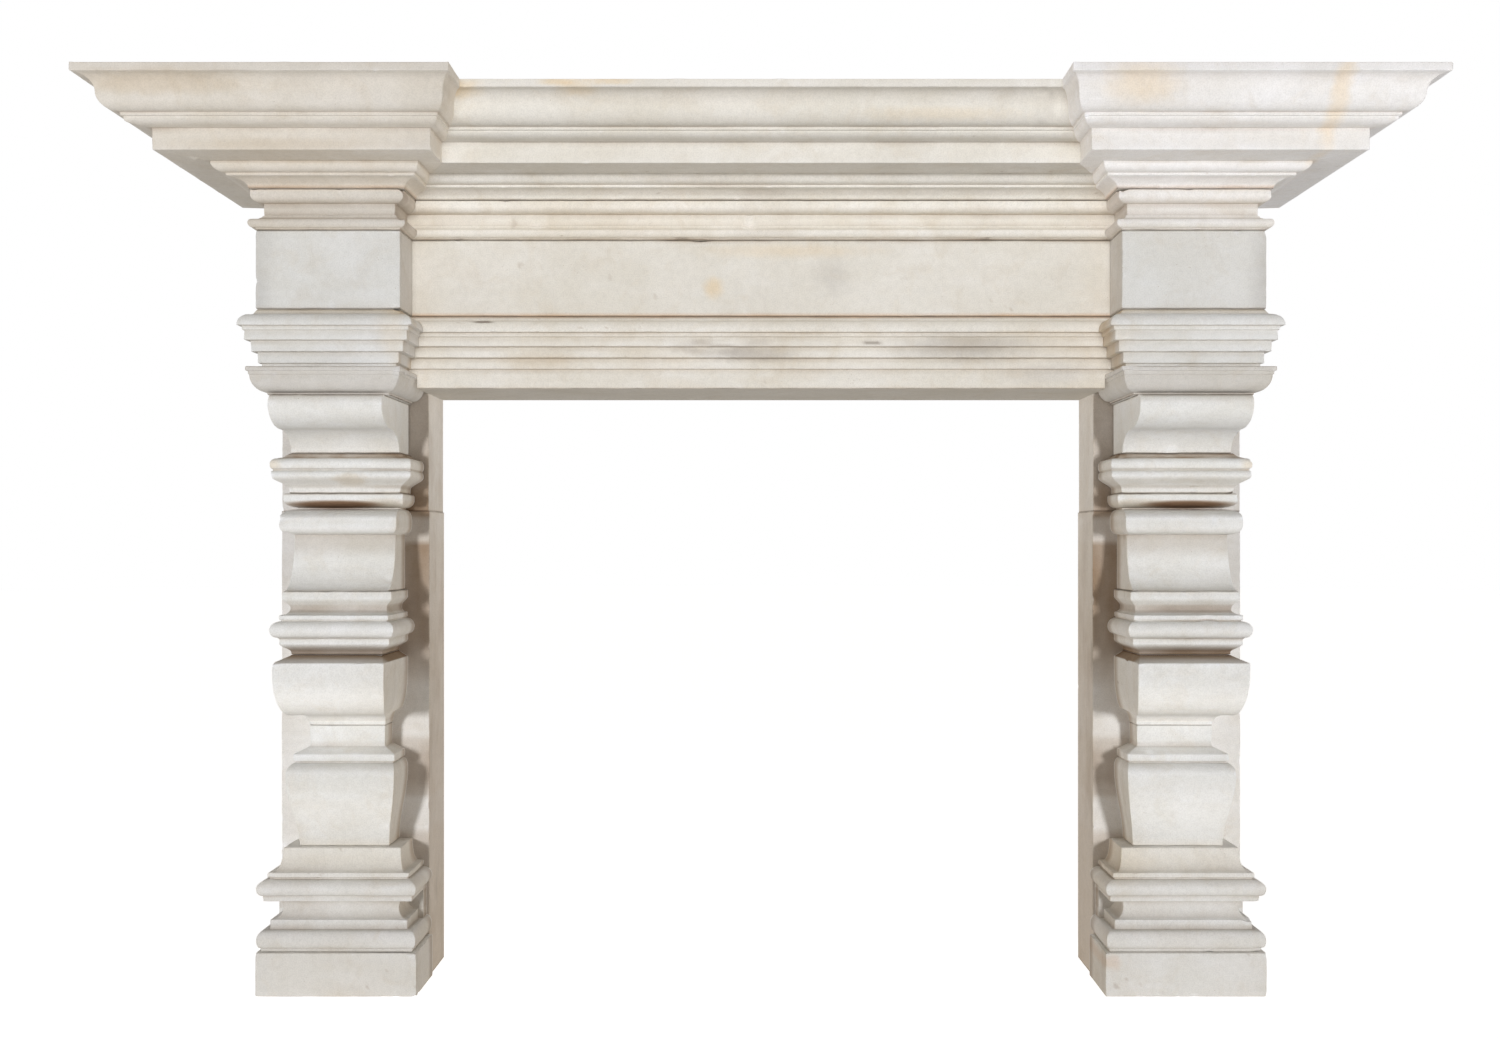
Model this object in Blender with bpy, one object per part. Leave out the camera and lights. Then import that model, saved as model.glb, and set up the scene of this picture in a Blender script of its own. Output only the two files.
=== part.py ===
"""Carved limestone fireplace surround with broken-forward jambs and entablature.

Frame: metres, +Z up, X along the width, -Y towards the room.  The origin is on
the hearth, in the middle of the footprint of the whole surround.

Every stone is a horizontal plan drawn at the level of each arris of its
moulding and extruded from one level to the next.  A moulding is written from
the top down as a run of fillets, quarter rounds, hollows and ogees, each with
the height that it drops and the projection that it ends on.
"""

import math

import bmesh
import bpy

# ---------------------------------------------------------------- main sizes
BACK = 0.30            # Y of the flat back that stands against the chimney breast
SLAB_FACE = 0.15       # Y of the front of the flat slabs behind the jambs
JAMB_X = 0.816         # centre of each jamb
GAP = 0.0003           # clearance in the beds and joints

PLINTH_H = 0.0844
PLINTH_HALF = 0.155
PLINTH_FRONT = 0.150   # every "front" is a distance forward of SLAB_FACE

SLAB_IN = 0.667        # slab edges, measured from the middle of the opening
SLAB_OUT = 0.965
SLAB_JOINT = 0.9354    # bed joint between the two slabs of a jamb
UPPER_SET_BACK = 0.003
OPENING_H = 1.172      # soffit of the lintel
BEARING_X = 0.820      # the lintel stones tail this far over the jambs

CAPITAL_TOP = 1.200
FRIEZE_BOTTOM = 1.312
FRIEZE_TOP = 1.460
BED_TOP = 1.5365
CORNICE_TOP = 1.703

FRIEZE_HALF_IN = 0.6795    # inner and outer faces of the frieze block
FRIEZE_HALF_OUT = 0.9525
BLOCK_FRONT = 0.205        # face of the frieze block
LINTEL_FRONT = 0.105       # face of the lintel frieze, set back from the block

REAR_MARGIN = 0.034        # plain strip at the back of the base's lower returns
REAR_HALF = 0.1434
REAR_TOP = 0.1805

STEPS = 5                  # straight facets in a quarter curve


# ------------------------------------------------------------ moulding curves
# Each returns how far down (u) and how far across (v) a curve has gone, 0 to 1.
def straight(t):
    return t, t


def falls_first(t):
    return math.sin(t * math.pi / 2), 1 - math.cos(t * math.pi / 2)


def turns_first(t):
    return 1 - math.cos(t * math.pi / 2), math.sin(t * math.pi / 2)


def ogee(t):
    return t, (1 - math.cos(math.pi * t)) / 2


def ogee_full(t):
    """A fuller ogee: a quarter that falls first, then one that turns first."""
    if t <= 0.5:
        u, v = falls_first(2 * t)
        return u / 2, v / 2
    u, v = turns_first(2 * t - 1)
    return 0.5 + u / 2, 0.5 + v / 2


def ogee_hollow(t):
    """The reverse: turns first, then falls, as in a crowning cyma."""
    if t <= 0.5:
        u, v = turns_first(2 * t)
        return u / 2, v / 2
    u, v = falls_first(2 * t - 1)
    return 0.5 + u / 2, 0.5 + v / 2


FACETS = {
    straight: 1,
    falls_first: STEPS,
    turns_first: STEPS,
    ogee: 2 * STEPS,
    ogee_full: 2 * STEPS,
    ogee_hollow: 2 * STEPS,
}


def moulding(top, start, *parts):
    """Levels (z, values...) of a moulding that starts at height top.

    Each part is (curve, drop, values to end on).  The values are the half width
    and the front of a jamb stone, or the one projection of an entablature stone.
    """
    levels = [(top, *start)]
    for curve, drop, *ends in parts:
        z0, *values = levels[-1]
        count = FACETS[curve]
        for step in range(1, count + 1):
            down, across = curve(step / count)
            levels.append(
                (
                    z0 - drop * down,
                    *(a + (b - a) * across for a, b in zip(values, ends)),
                )
            )
    return levels


def fit(levels, bottom):
    """The same moulding, with its last level set exactly on the bed below it."""
    return levels[:-1] + [(bottom, *levels[-1][1:])]


# --------------------------------------------------------------- jamb stones
TINY = 0.0008   # drop of an arris that reads as square

BASE = moulding(
    0.2778,
    (0.1147, 0.104),
    (falls_first, 0.0430, 0.1262, 0.127),      # flared foot of the shaft
    (straight, TINY, 0.1370, 0.132),
    (straight, 0.0090, 0.1370, 0.132),         # fillet
    (straight, TINY, 0.1335, 0.128),
    (straight, 0.0025, 0.1335, 0.128),         # quirk
    (turns_first, 0.0150, 0.1542, 0.150),      # upper torus
    (falls_first, 0.0155, 0.1440, 0.139),
    (straight, 0.0112, 0.1434, 0.137),         # fillet
    (straight, TINY, 0.1260, 0.121),
    (turns_first, 0.0170, 0.1127, 0.110),      # scotia
    (falls_first, 0.0190, 0.1310, 0.127),
    (straight, TINY, 0.1330, 0.128),
    (straight, 0.0170, 0.1330, 0.128),         # fillet
    (straight, TINY, 0.1425, 0.140),
    (turns_first, 0.0165, 0.1535, 0.152),      # lower torus
    (falls_first, 0.0170, 0.1460, 0.143),
)

LOWER_VASE = moulding(
    0.5112,
    (0.0748, 0.062),
    (straight, 0.0352, 0.0735, 0.060),         # neck
    (straight, 0.0060, 0.0745, 0.061),
    (straight, 0.0115, 0.0980, 0.088),         # sloping top
    (straight, TINY, 0.0996, 0.091),
    (straight, 0.0138, 0.0996, 0.091),         # fillet
    (straight, TINY, 0.0960, 0.088),
    (straight, 0.0022, 0.0960, 0.088),
    (turns_first, 0.0190, 0.1057, 0.120),      # shoulder of the vase
    (ogee, 0.1450, 0.0885, 0.086),
)

UPPER_VASE = moulding(
    0.6557,
    (0.0885, 0.146),
    (straight, 0.0105, 0.1035, 0.203),         # weathered top
    (straight, 0.0015, 0.1058, 0.206),
    (straight, 0.0200, 0.1058, 0.206),
    (falls_first, 0.0850, 0.0905, 0.135),      # bulging front and sides
    (turns_first, 0.0250, 0.0758, 0.064),
    (straight, 0.0025, 0.0752, 0.063),
)

ROLL_STONE = moulding(
    0.7778,
    (0.1057, 0.142),
    (straight, 0.0130, 0.1057, 0.142),         # fillet
    (ogee, 0.0190, 0.0936, 0.128),             # running into the hollow neck
    (straight, 0.0025, 0.0936, 0.128),
    (falls_first, 0.0100, 0.1030, 0.162),
    (straight, TINY, 0.1046, 0.166),
    (straight, 0.0088, 0.1046, 0.166),         # fillet
    (straight, TINY, 0.1020, 0.163),
    (straight, 0.0016, 0.1020, 0.163),         # quirk
    (turns_first, 0.0160, 0.1187, 0.182),      # torus
    (falls_first, 0.0155, 0.1080, 0.168),
    (straight, 0.0030, 0.1057, 0.161),
    (straight, 0.0085, 0.1057, 0.161),         # fillet
    (ogee, 0.0180, 0.0885, 0.140),             # running into the lower hollow
    (straight, 0.0045, 0.0885, 0.140),
)

BELL_STONE = moulding(
    0.9680,
    (0.1170, 0.089),
    (straight, 0.0040, 0.1187, 0.091),
    (straight, 0.0080, 0.1187, 0.091),         # thin roll over the bell
    (falls_first, 0.0150, 0.1020, 0.052),
    (straight, TINY, 0.1010, 0.048),
    (straight, 0.0025, 0.1010, 0.048),         # deep quirk
    (turns_first, 0.0200, 0.1137, 0.136),      # big roll
    (straight, 0.0120, 0.1137, 0.136),
    (falls_first, 0.0170, 0.1010, 0.116),
    (straight, 0.0020, 0.0996, 0.080),
    (falls_first, 0.1066, 0.0996, 0.145),      # hollow bell with flat sides
)

NECK_STONE = moulding(
    1.0470,
    (0.1120, 0.080),
    (straight, 0.0070, 0.1180, 0.088),
    (straight, 0.0040, 0.1290, 0.100),         # sloping top
    (turns_first, 0.0120, 0.1378, 0.117),      # torus
    (falls_first, 0.0090, 0.1350, 0.111),
    (straight, TINY, 0.1345, 0.107),
    (straight, 0.0024, 0.1345, 0.107),         # quirk
    (turns_first, 0.0100, 0.1370, 0.118),      # second torus
    (ogee, 0.0240, 0.1107, 0.085),             # running into the neck
    (straight, 0.0100, 0.1107, 0.084),         # neck
)

CONSOLE_STONE = moulding(
    1.1497,
    (0.1066, 0.208),
    (turns_first, 0.0180, 0.1066, 0.227),      # ogee front with flat sides
    (ogee_full, 0.0845, 0.1066, 0.079),
)

CAPITAL_STONE = moulding(
    CAPITAL_TOP,
    (0.1425, 0.240),
    (straight, 0.0015, 0.1440, 0.242),
    (straight, 0.0065, 0.1440, 0.242),         # fillet
    (straight, TINY, 0.1400, 0.238),
    (straight, 0.0055, 0.1400, 0.238),         # second fillet
    (straight, TINY, 0.1385, 0.235),
    (falls_first, 0.0300, 0.1160, 0.204),      # ovolo
    (straight, TINY, 0.1140, 0.201),
    (straight, 0.0044, 0.1140, 0.200),
)

# --------------------------------------------------------- entablature stones
# One projection for each level, measured from the face of the frieze.
ARCHITRAVE = moulding(
    FRIEZE_BOTTOM,
    (-0.002,),
    (straight, 0.0100, 0.004),
    (turns_first, 0.0225, 0.0275),             # crowning ovolo
    (straight, 0.0015, 0.0275),
    (straight, TINY, 0.0200),
    (straight, 0.0072, 0.0200),                # fillet
    (straight, TINY, 0.0160),
    (straight, 0.0175, 0.0170),                # first fascia
    (straight, TINY, 0.0075),
    (straight, 0.0200, 0.0080),                # second fascia
    (straight, TINY, -0.0030),
    (straight, 0.0200, -0.0030),               # third fascia
    (straight, TINY, -0.0090),
    (straight, 0.0090, -0.0090),               # fourth fascia
)
ARCHITRAVE = fit(ARCHITRAVE, CAPITAL_TOP + GAP)
# Over the opening the fourth fascia runs on down to the soffit, and below the
# top of the capitals it is scribed to them.
SOFFIT_END = 0.6715
ARCHITRAVE_LINTEL = [
    *((z, p, None) for z, p in fit(ARCHITRAVE, CAPITAL_TOP + 2 * GAP)),
    (CAPITAL_TOP + GAP, -0.0090, SOFFIT_END),
    (OPENING_H, -0.0090, SOFFIT_END),
]

BED = moulding(
    BED_TOP,
    (0.0060,),
    (straight, 0.0010, 0.0080),
    (straight, 0.0110, 0.0080),                # fillet
    (falls_first, 0.0120, -0.0080),            # hollow
    (straight, TINY, -0.0120),
    (straight, 0.0205, -0.0120),               # plain fascia
    (straight, TINY, -0.0090),
    (falls_first, 0.0100, 0.0060),             # astragal
    (turns_first, 0.0080, 0.0120),
    (falls_first, 0.0090, 0.0020),
    (straight, 0.0035, 0.0010),
)
BED = fit(BED, FRIEZE_TOP)

CORNICE = moulding(
    CORNICE_TOP,
    (0.2440,),
    (straight, 0.0010, 0.2450),
    (straight, 0.0130, 0.2450),                # top fillet
    (straight, TINY, 0.2400),
    (ogee_hollow, 0.0545, 0.1870),             # crowning cyma
    (straight, TINY, 0.1825),
    (straight, 0.0050, 0.1825),                # fillet
    (straight, TINY, 0.1780),
    (falls_first, 0.0110, 0.1560),             # small ovolo
    (straight, TINY, 0.1410),
    (straight, 0.0380, 0.1400),                # corona
    (straight, 0.0020, 0.0640),                # soffit
    (falls_first, 0.0160, 0.0460),             # ovolo of the bed mould
    (straight, TINY, 0.0420),
    (straight, 0.0040, 0.0420),                # fillet
    (straight, TINY, 0.0380),
    (turns_first, 0.0180, 0.0100),             # hollow
)
CORNICE = fit(CORNICE, BED_TOP)


def inner_projection(p):
    """The inner return stands out less than the front, past the necking."""
    return p if p < 0.03 else 0.03 + (p - 0.03) * 0.507


# ------------------------------------------------------------------ materials
def stone_material(name, colour, roughness):
    material = bpy.data.materials.new(name)
    material.use_nodes = True
    shader = material.node_tree.nodes["Principled BSDF"]
    shader.inputs["Base Color"].default_value = (*colour, 1)
    shader.inputs["Roughness"].default_value = roughness
    shader.inputs["Metallic"].default_value = 0
    material.diffuse_color = (*colour, 1)
    return material


# ------------------------------------------------------------------- building
def loft(name, levels, plan, material, collection):
    """One closed stone: the plan at the top level, extruded down level by level."""
    work = bmesh.new()
    z0, *values = levels[0]
    ring = [work.verts.new((x, y, z0)) for x, y in plan(*values)]
    face = work.faces.new(ring)
    top = face
    for z, *values in levels[1:]:
        out = bmesh.ops.extrude_face_region(work, geom=[face])
        if face is not top:
            bmesh.ops.delete(work, geom=[face], context="FACES_ONLY")
        face = next(g for g in out["geom"] if isinstance(g, bmesh.types.BMFace))
        ring = order_like(ring, out["geom"])
        for vert, (x, y) in zip(ring, plan(*values)):
            vert.co = (x, y, z)
    bmesh.ops.recalc_face_normals(work, faces=work.faces)
    return finish(name, work, material, collection)


def order_like(ring, geom):
    """The extruded points, in the order of the points they were made from."""
    new = [g for g in geom if isinstance(g, bmesh.types.BMVert)]
    return [min(new, key=lambda v, old=old: (v.co - old.co).length) for old in ring]


def finish(name, work, material, collection):
    mesh = bpy.data.meshes.new(name)
    work.to_mesh(mesh)
    work.free()
    mesh.materials.append(material)
    mesh.shade_smooth()
    mesh.set_sharp_from_angle(angle=math.radians(28))
    thing = bpy.data.objects.new(name, mesh)
    collection.objects.link(thing)
    return thing


def forward(distance):
    return SLAB_FACE - distance


def jamb_plan(side):
    """Plan of a stone that stands in front of the slab."""

    def plan(half, front):
        x = side * JAMB_X
        back = forward(GAP)
        return [
            (x - half, back),
            (x + half, back),
            (x + half, forward(front)),
            (x - half, forward(front)),
        ]

    return plan


def with_rear(levels):
    """Levels of the base with the half width of its plain strip."""
    return [
        (z, half, front, max(half, REAR_HALF) if z < REAR_TOP else half)
        for z, half, front in levels
    ]


def base_plan(side):
    """The same, with a plain strip at the back where the lower hollows stop."""

    def plan(half, front, rear):
        x = side * JAMB_X
        stop = forward(REAR_MARGIN)
        return [
            (x - rear, forward(GAP)),
            (x + rear, forward(GAP)),
            (x + rear, stop),
            (x + half, stop - 0.0005),
            (x + half, forward(front)),
            (x - half, forward(front)),
            (x - half, stop - 0.0005),
            (x - rear, stop),
        ]

    return plan


def block_plan(side):
    """Plan of a stone of the entablature over a jamb, notched for the lintel."""

    def plan(p):
        outer = side * (FRIEZE_HALF_OUT + p)
        inner = side * (FRIEZE_HALF_IN - inner_projection(p))
        front = forward(BLOCK_FRONT + p)
        notch = forward(-UPPER_SET_BACK)
        return [
            (outer, BACK),
            (outer, front),
            (inner, front),
            (inner, notch),
            (side * BEARING_X, notch),
            (side * BEARING_X, BACK),
        ]

    return plan


def lintel_plan(p, end=None):
    """Plan of a lintel stone, scribed to the returns of the blocks."""
    if end is None:
        end = FRIEZE_HALF_IN - inner_projection(p) - GAP
    tail = BEARING_X - GAP
    notch = forward(-UPPER_SET_BACK - GAP)
    front = forward(LINTEL_FRONT + p)
    return [
        (-tail, BACK),
        (-tail, notch),
        (-end, notch),
        (-end, front),
        (end, front),
        (end, notch),
        (tail, notch),
        (tail, BACK),
    ]


def raise_bed(levels):
    """Lift the lowest level by the clearance of the bed joint."""
    return levels[:-1] + [(levels[-1][0] + GAP, *levels[-1][1:])]


def slab(name, side, outline, front, material, collection):
    """A flat slab: its outline in elevation, extruded from its front to the back."""
    work = bmesh.new()
    face = work.faces.new(
        [work.verts.new((side * x, forward(front), z)) for x, z in outline]
    )
    out = bmesh.ops.extrude_face_region(work, geom=[face])
    for item in out["geom"]:
        if isinstance(item, bmesh.types.BMVert):
            item.co.y = BACK
    bmesh.ops.recalc_face_normals(work, faces=work.faces)
    return finish(name, work, material, collection)


def plinth(name, side, material, collection):
    """A plain block in front of the foot of the slab."""
    work = bmesh.new()
    bmesh.ops.create_cube(work, size=1)
    depth = PLINTH_FRONT - GAP
    height = PLINTH_H - GAP
    for vert in work.verts:
        vert.co.x = side * JAMB_X + vert.co.x * 2 * PLINTH_HALF
        vert.co.y = forward(GAP + depth / 2) + vert.co.y * depth
        vert.co.z = height / 2 + vert.co.z * height
    return finish(name, work, material, collection)


def main():
    for thing in list(bpy.data.objects):
        bpy.data.objects.remove(thing, do_unlink=True)
    collection = bpy.data.collections.new("fireplace_surround")
    bpy.context.scene.collection.children.link(collection)

    cream = (0.74, 0.69, 0.60)
    pale = (0.72, 0.69, 0.63)
    grey = (0.68, 0.65, 0.60)
    brown = (0.55, 0.48, 0.40)

    stack = {
        "base": BASE,
        "lower_vase": LOWER_VASE,
        "upper_vase": UPPER_VASE,
        "roll_stone": ROLL_STONE,
        "bell_stone": BELL_STONE,
        "neck_stone": NECK_STONE,
        "console_stone": CONSOLE_STONE,
        "capital": CAPITAL_STONE,
    }
    # The bed of each stone is the top of the one below it.
    names = list(stack)
    for below, above in zip(names, names[1:]):
        stack[above] = fit(stack[above], stack[below][0][0])
    stack["base"] = fit(stack["base"], PLINTH_H)

    for hand, side in (("left", -1), ("right", 1)):
        shade = stone_material(f"{hand}_jamb_stone", grey, 0.85)
        plinth(f"{hand}_plinth", side, shade, collection)
        for name, levels in stack.items():
            levels, plan = raise_bed(levels), jamb_plan(side)
            if name == "base":
                levels, plan = with_rear(levels), base_plan(side)
            loft(f"{hand}_{name}", levels, plan, shade, collection)

        backing = stone_material(f"{hand}_slab_stone", brown, 0.9)
        slab(
            f"{hand}_slab_lower",
            side,
            [
                (SLAB_IN, 0),
                (SLAB_OUT, 0),
                (SLAB_OUT, SLAB_JOINT - GAP),
                (SLAB_IN, SLAB_JOINT - GAP),
            ],
            0,
            backing,
            collection,
        )
        # The upper slab is cut down by a step where the lintel bears on it.
        slab(
            f"{hand}_slab_upper",
            side,
            [
                (SLAB_IN + 0.002, SLAB_JOINT),
                (SLAB_OUT, SLAB_JOINT),
                (SLAB_OUT, CAPITAL_TOP),
                (BEARING_X, CAPITAL_TOP),
                (BEARING_X, OPENING_H),
                (SLAB_IN + 0.002, OPENING_H),
            ],
            -UPPER_SET_BACK,
            backing,
            collection,
        )

        upper = stone_material(f"{hand}_entablature_stone", pale, 0.85)
        frieze = [(FRIEZE_TOP, 0.0), (FRIEZE_BOTTOM, 0.0)]
        for name, levels in (
            ("architrave", ARCHITRAVE),
            ("frieze", frieze),
            ("bed_mould", BED),
            ("cornice", CORNICE),
        ):
            loft(
                f"{hand}_{name}",
                raise_bed(levels),
                block_plan(side),
                upper,
                collection,
            )

    middle = stone_material("lintel_stone", cream, 0.85)
    for name, levels in (
        ("architrave", ARCHITRAVE_LINTEL),
        ("frieze", [(FRIEZE_TOP, 0.0), (FRIEZE_BOTTOM, 0.0)]),
        ("bed_mould", BED),
        ("cornice", CORNICE),
    ):
        loft(f"lintel_{name}", raise_bed(levels), lintel_plan, middle, collection)


main()
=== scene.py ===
"""The looks of the limestone fireplace surround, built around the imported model."""

import math

import bpy
import numpy as np
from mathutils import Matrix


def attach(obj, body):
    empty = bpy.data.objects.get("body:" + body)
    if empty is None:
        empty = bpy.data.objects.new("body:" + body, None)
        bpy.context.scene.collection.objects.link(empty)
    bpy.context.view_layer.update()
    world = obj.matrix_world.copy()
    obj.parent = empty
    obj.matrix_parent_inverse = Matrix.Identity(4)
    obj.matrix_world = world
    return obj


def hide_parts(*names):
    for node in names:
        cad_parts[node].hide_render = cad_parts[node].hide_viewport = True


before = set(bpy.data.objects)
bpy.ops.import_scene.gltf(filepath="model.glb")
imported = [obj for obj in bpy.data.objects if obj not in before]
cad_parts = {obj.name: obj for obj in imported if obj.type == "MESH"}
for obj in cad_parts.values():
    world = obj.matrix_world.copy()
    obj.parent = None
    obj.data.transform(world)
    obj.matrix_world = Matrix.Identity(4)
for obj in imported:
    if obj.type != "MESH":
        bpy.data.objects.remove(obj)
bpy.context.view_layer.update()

# ---------------------------------------------------------------- main sizes
BACK = 0.30
SLAB_FACE = 0.15
JAMB_X = 0.816
GAP = 0.0003
PLINTH_H = 0.0844
PLINTH_HALF = 0.155
PLINTH_FRONT = 0.150
SLAB_IN = 0.667
SLAB_OUT = 0.965
SLAB_JOINT = 0.9354
UPPER_SET_BACK = 0.003
OPENING_H = 1.172
BEARING_X = 0.820
CAPITAL_TOP = 1.200
FRIEZE_BOTTOM = 1.312
FRIEZE_TOP = 1.460
BED_TOP = 1.5365
CORNICE_TOP = 1.703
FRIEZE_HALF_IN = 0.6795
FRIEZE_HALF_OUT = 0.9525
BLOCK_FRONT = 0.205
LINTEL_FRONT = 0.105
REAR_MARGIN = 0.034
REAR_HALF = 0.1434
REAR_TOP = 0.1805
SOFFIT_END = 0.6715
TINY = 0.0008
STEPS = 10
CELL = 0.0055          # spacing of the points of a stone's surface


# ------------------------------------------------------------ moulding curves
def straight(t):
    return t, t


def falls_first(t):
    return math.sin(t * math.pi / 2), 1 - math.cos(t * math.pi / 2)


def turns_first(t):
    return 1 - math.cos(t * math.pi / 2), math.sin(t * math.pi / 2)


def ogee(t):
    return t, (1 - math.cos(math.pi * t)) / 2


def ogee_full(t):
    if t <= 0.5:
        u, v = falls_first(2 * t)
        return u / 2, v / 2
    u, v = turns_first(2 * t - 1)
    return 0.5 + u / 2, 0.5 + v / 2


def ogee_hollow(t):
    if t <= 0.5:
        u, v = turns_first(2 * t)
        return u / 2, v / 2
    u, v = falls_first(2 * t - 1)
    return 0.5 + u / 2, 0.5 + v / 2


FACETS = {
    straight: 1,
    falls_first: STEPS,
    turns_first: STEPS,
    ogee: 2 * STEPS,
    ogee_full: 2 * STEPS,
    ogee_hollow: 2 * STEPS,
}


def moulding(top, start, *parts):
    levels = [(top, *start)]
    for curve, drop, *ends in parts:
        z0, *values = levels[-1]
        count = FACETS[curve]
        for step in range(1, count + 1):
            down, across = curve(step / count)
            levels.append(
                (z0 - drop * down, *(a + (b - a) * across for a, b in zip(values, ends)))
            )
    return levels


def fit(levels, bottom):
    return levels[:-1] + [(bottom, *levels[-1][1:])]


# --------------------------------------------------------------- jamb stones
BASE = moulding(
    0.2778,
    (0.1147, 0.104),
    (falls_first, 0.0430, 0.1262, 0.127),
    (straight, TINY, 0.1370, 0.132),
    (straight, 0.0090, 0.1370, 0.132),
    (straight, TINY, 0.1335, 0.128),
    (straight, 0.0025, 0.1335, 0.128),
    (turns_first, 0.0150, 0.1542, 0.150),
    (falls_first, 0.0155, 0.1440, 0.139),
    (straight, 0.0112, 0.1434, 0.137),
    (straight, TINY, 0.1260, 0.121),
    (turns_first, 0.0170, 0.1127, 0.110),
    (falls_first, 0.0190, 0.1310, 0.127),
    (straight, TINY, 0.1330, 0.128),
    (straight, 0.0170, 0.1330, 0.128),
    (straight, TINY, 0.1425, 0.140),
    (turns_first, 0.0165, 0.1535, 0.152),
    (falls_first, 0.0170, 0.1460, 0.143),
)
LOWER_VASE = moulding(
    0.5112,
    (0.0748, 0.062),
    (straight, 0.0352, 0.0735, 0.060),
    (straight, 0.0060, 0.0745, 0.061),
    (straight, 0.0115, 0.0980, 0.088),
    (straight, TINY, 0.0996, 0.091),
    (straight, 0.0138, 0.0996, 0.091),
    (straight, TINY, 0.0960, 0.088),
    (straight, 0.0022, 0.0960, 0.088),
    (turns_first, 0.0190, 0.1057, 0.120),
    (ogee, 0.1450, 0.0885, 0.086),
)
UPPER_VASE = moulding(
    0.6557,
    (0.0885, 0.146),
    (straight, 0.0105, 0.1035, 0.203),
    (straight, 0.0015, 0.1058, 0.206),
    (straight, 0.0200, 0.1058, 0.206),
    (falls_first, 0.0850, 0.0905, 0.135),
    (turns_first, 0.0250, 0.0758, 0.064),
    (straight, 0.0025, 0.0752, 0.063),
)
ROLL_STONE = moulding(
    0.7778,
    (0.1057, 0.142),
    (straight, 0.0130, 0.1057, 0.142),
    (ogee, 0.0190, 0.0936, 0.128),
    (straight, 0.0025, 0.0936, 0.128),
    (falls_first, 0.0100, 0.1030, 0.162),
    (straight, TINY, 0.1046, 0.166),
    (straight, 0.0088, 0.1046, 0.166),
    (straight, TINY, 0.1020, 0.163),
    (straight, 0.0016, 0.1020, 0.163),
    (turns_first, 0.0160, 0.1187, 0.182),
    (falls_first, 0.0155, 0.1080, 0.168),
    (straight, 0.0030, 0.1057, 0.161),
    (straight, 0.0085, 0.1057, 0.161),
    (ogee, 0.0180, 0.0885, 0.140),
    (straight, 0.0045, 0.0885, 0.140),
)
BELL_STONE = moulding(
    0.9680,
    (0.1170, 0.089),
    (straight, 0.0040, 0.1187, 0.091),
    (straight, 0.0080, 0.1187, 0.091),
    (falls_first, 0.0150, 0.1020, 0.052),
    (straight, TINY, 0.1010, 0.048),
    (straight, 0.0025, 0.1010, 0.048),
    (turns_first, 0.0200, 0.1137, 0.136),
    (straight, 0.0120, 0.1137, 0.136),
    (falls_first, 0.0170, 0.1010, 0.116),
    (straight, 0.0020, 0.0996, 0.080),
    (falls_first, 0.1066, 0.0996, 0.145),
)
NECK_STONE = moulding(
    1.0470,
    (0.1120, 0.080),
    (straight, 0.0070, 0.1180, 0.088),
    (straight, 0.0040, 0.1290, 0.100),
    (turns_first, 0.0120, 0.1378, 0.117),
    (falls_first, 0.0090, 0.1350, 0.111),
    (straight, TINY, 0.1345, 0.107),
    (straight, 0.0024, 0.1345, 0.107),
    (turns_first, 0.0100, 0.1370, 0.118),
    (ogee, 0.0240, 0.1107, 0.085),
    (straight, 0.0100, 0.1107, 0.084),
)
CONSOLE_STONE = moulding(
    1.1497,
    (0.1066, 0.208),
    (turns_first, 0.0180, 0.1066, 0.227),
    (ogee_full, 0.0845, 0.1066, 0.079),
)
CAPITAL_STONE = moulding(
    CAPITAL_TOP,
    (0.1425, 0.240),
    (straight, 0.0015, 0.1440, 0.242),
    (straight, 0.0065, 0.1440, 0.242),
    (straight, TINY, 0.1400, 0.238),
    (straight, 0.0055, 0.1400, 0.238),
    (straight, TINY, 0.1385, 0.235),
    (falls_first, 0.0300, 0.1160, 0.204),
    (straight, TINY, 0.1140, 0.201),
    (straight, 0.0044, 0.1140, 0.200),
)

# --------------------------------------------------------- entablature stones
ARCHITRAVE = moulding(
    FRIEZE_BOTTOM,
    (-0.002,),
    (straight, 0.0100, 0.004),
    (turns_first, 0.0225, 0.0275),
    (straight, 0.0015, 0.0275),
    (straight, TINY, 0.0200),
    (straight, 0.0072, 0.0200),
    (straight, TINY, 0.0160),
    (straight, 0.0175, 0.0170),
    (straight, TINY, 0.0075),
    (straight, 0.0200, 0.0080),
    (straight, TINY, -0.0030),
    (straight, 0.0200, -0.0030),
    (straight, TINY, -0.0090),
    (straight, 0.0090, -0.0090),
)
ARCHITRAVE = fit(ARCHITRAVE, CAPITAL_TOP + GAP)
ARCHITRAVE_LINTEL = fit(ARCHITRAVE, OPENING_H)
FRIEZE = [(FRIEZE_TOP, 0.0), (FRIEZE_BOTTOM + GAP, 0.0)]
BED = moulding(
    BED_TOP,
    (0.0060,),
    (straight, 0.0010, 0.0080),
    (straight, 0.0110, 0.0080),
    (falls_first, 0.0120, -0.0080),
    (straight, TINY, -0.0120),
    (straight, 0.0205, -0.0120),
    (straight, TINY, -0.0090),
    (falls_first, 0.0100, 0.0060),
    (turns_first, 0.0080, 0.0120),
    (falls_first, 0.0090, 0.0020),
    (straight, 0.0035, 0.0010),
)
BED = fit(BED, FRIEZE_TOP + GAP)
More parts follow.
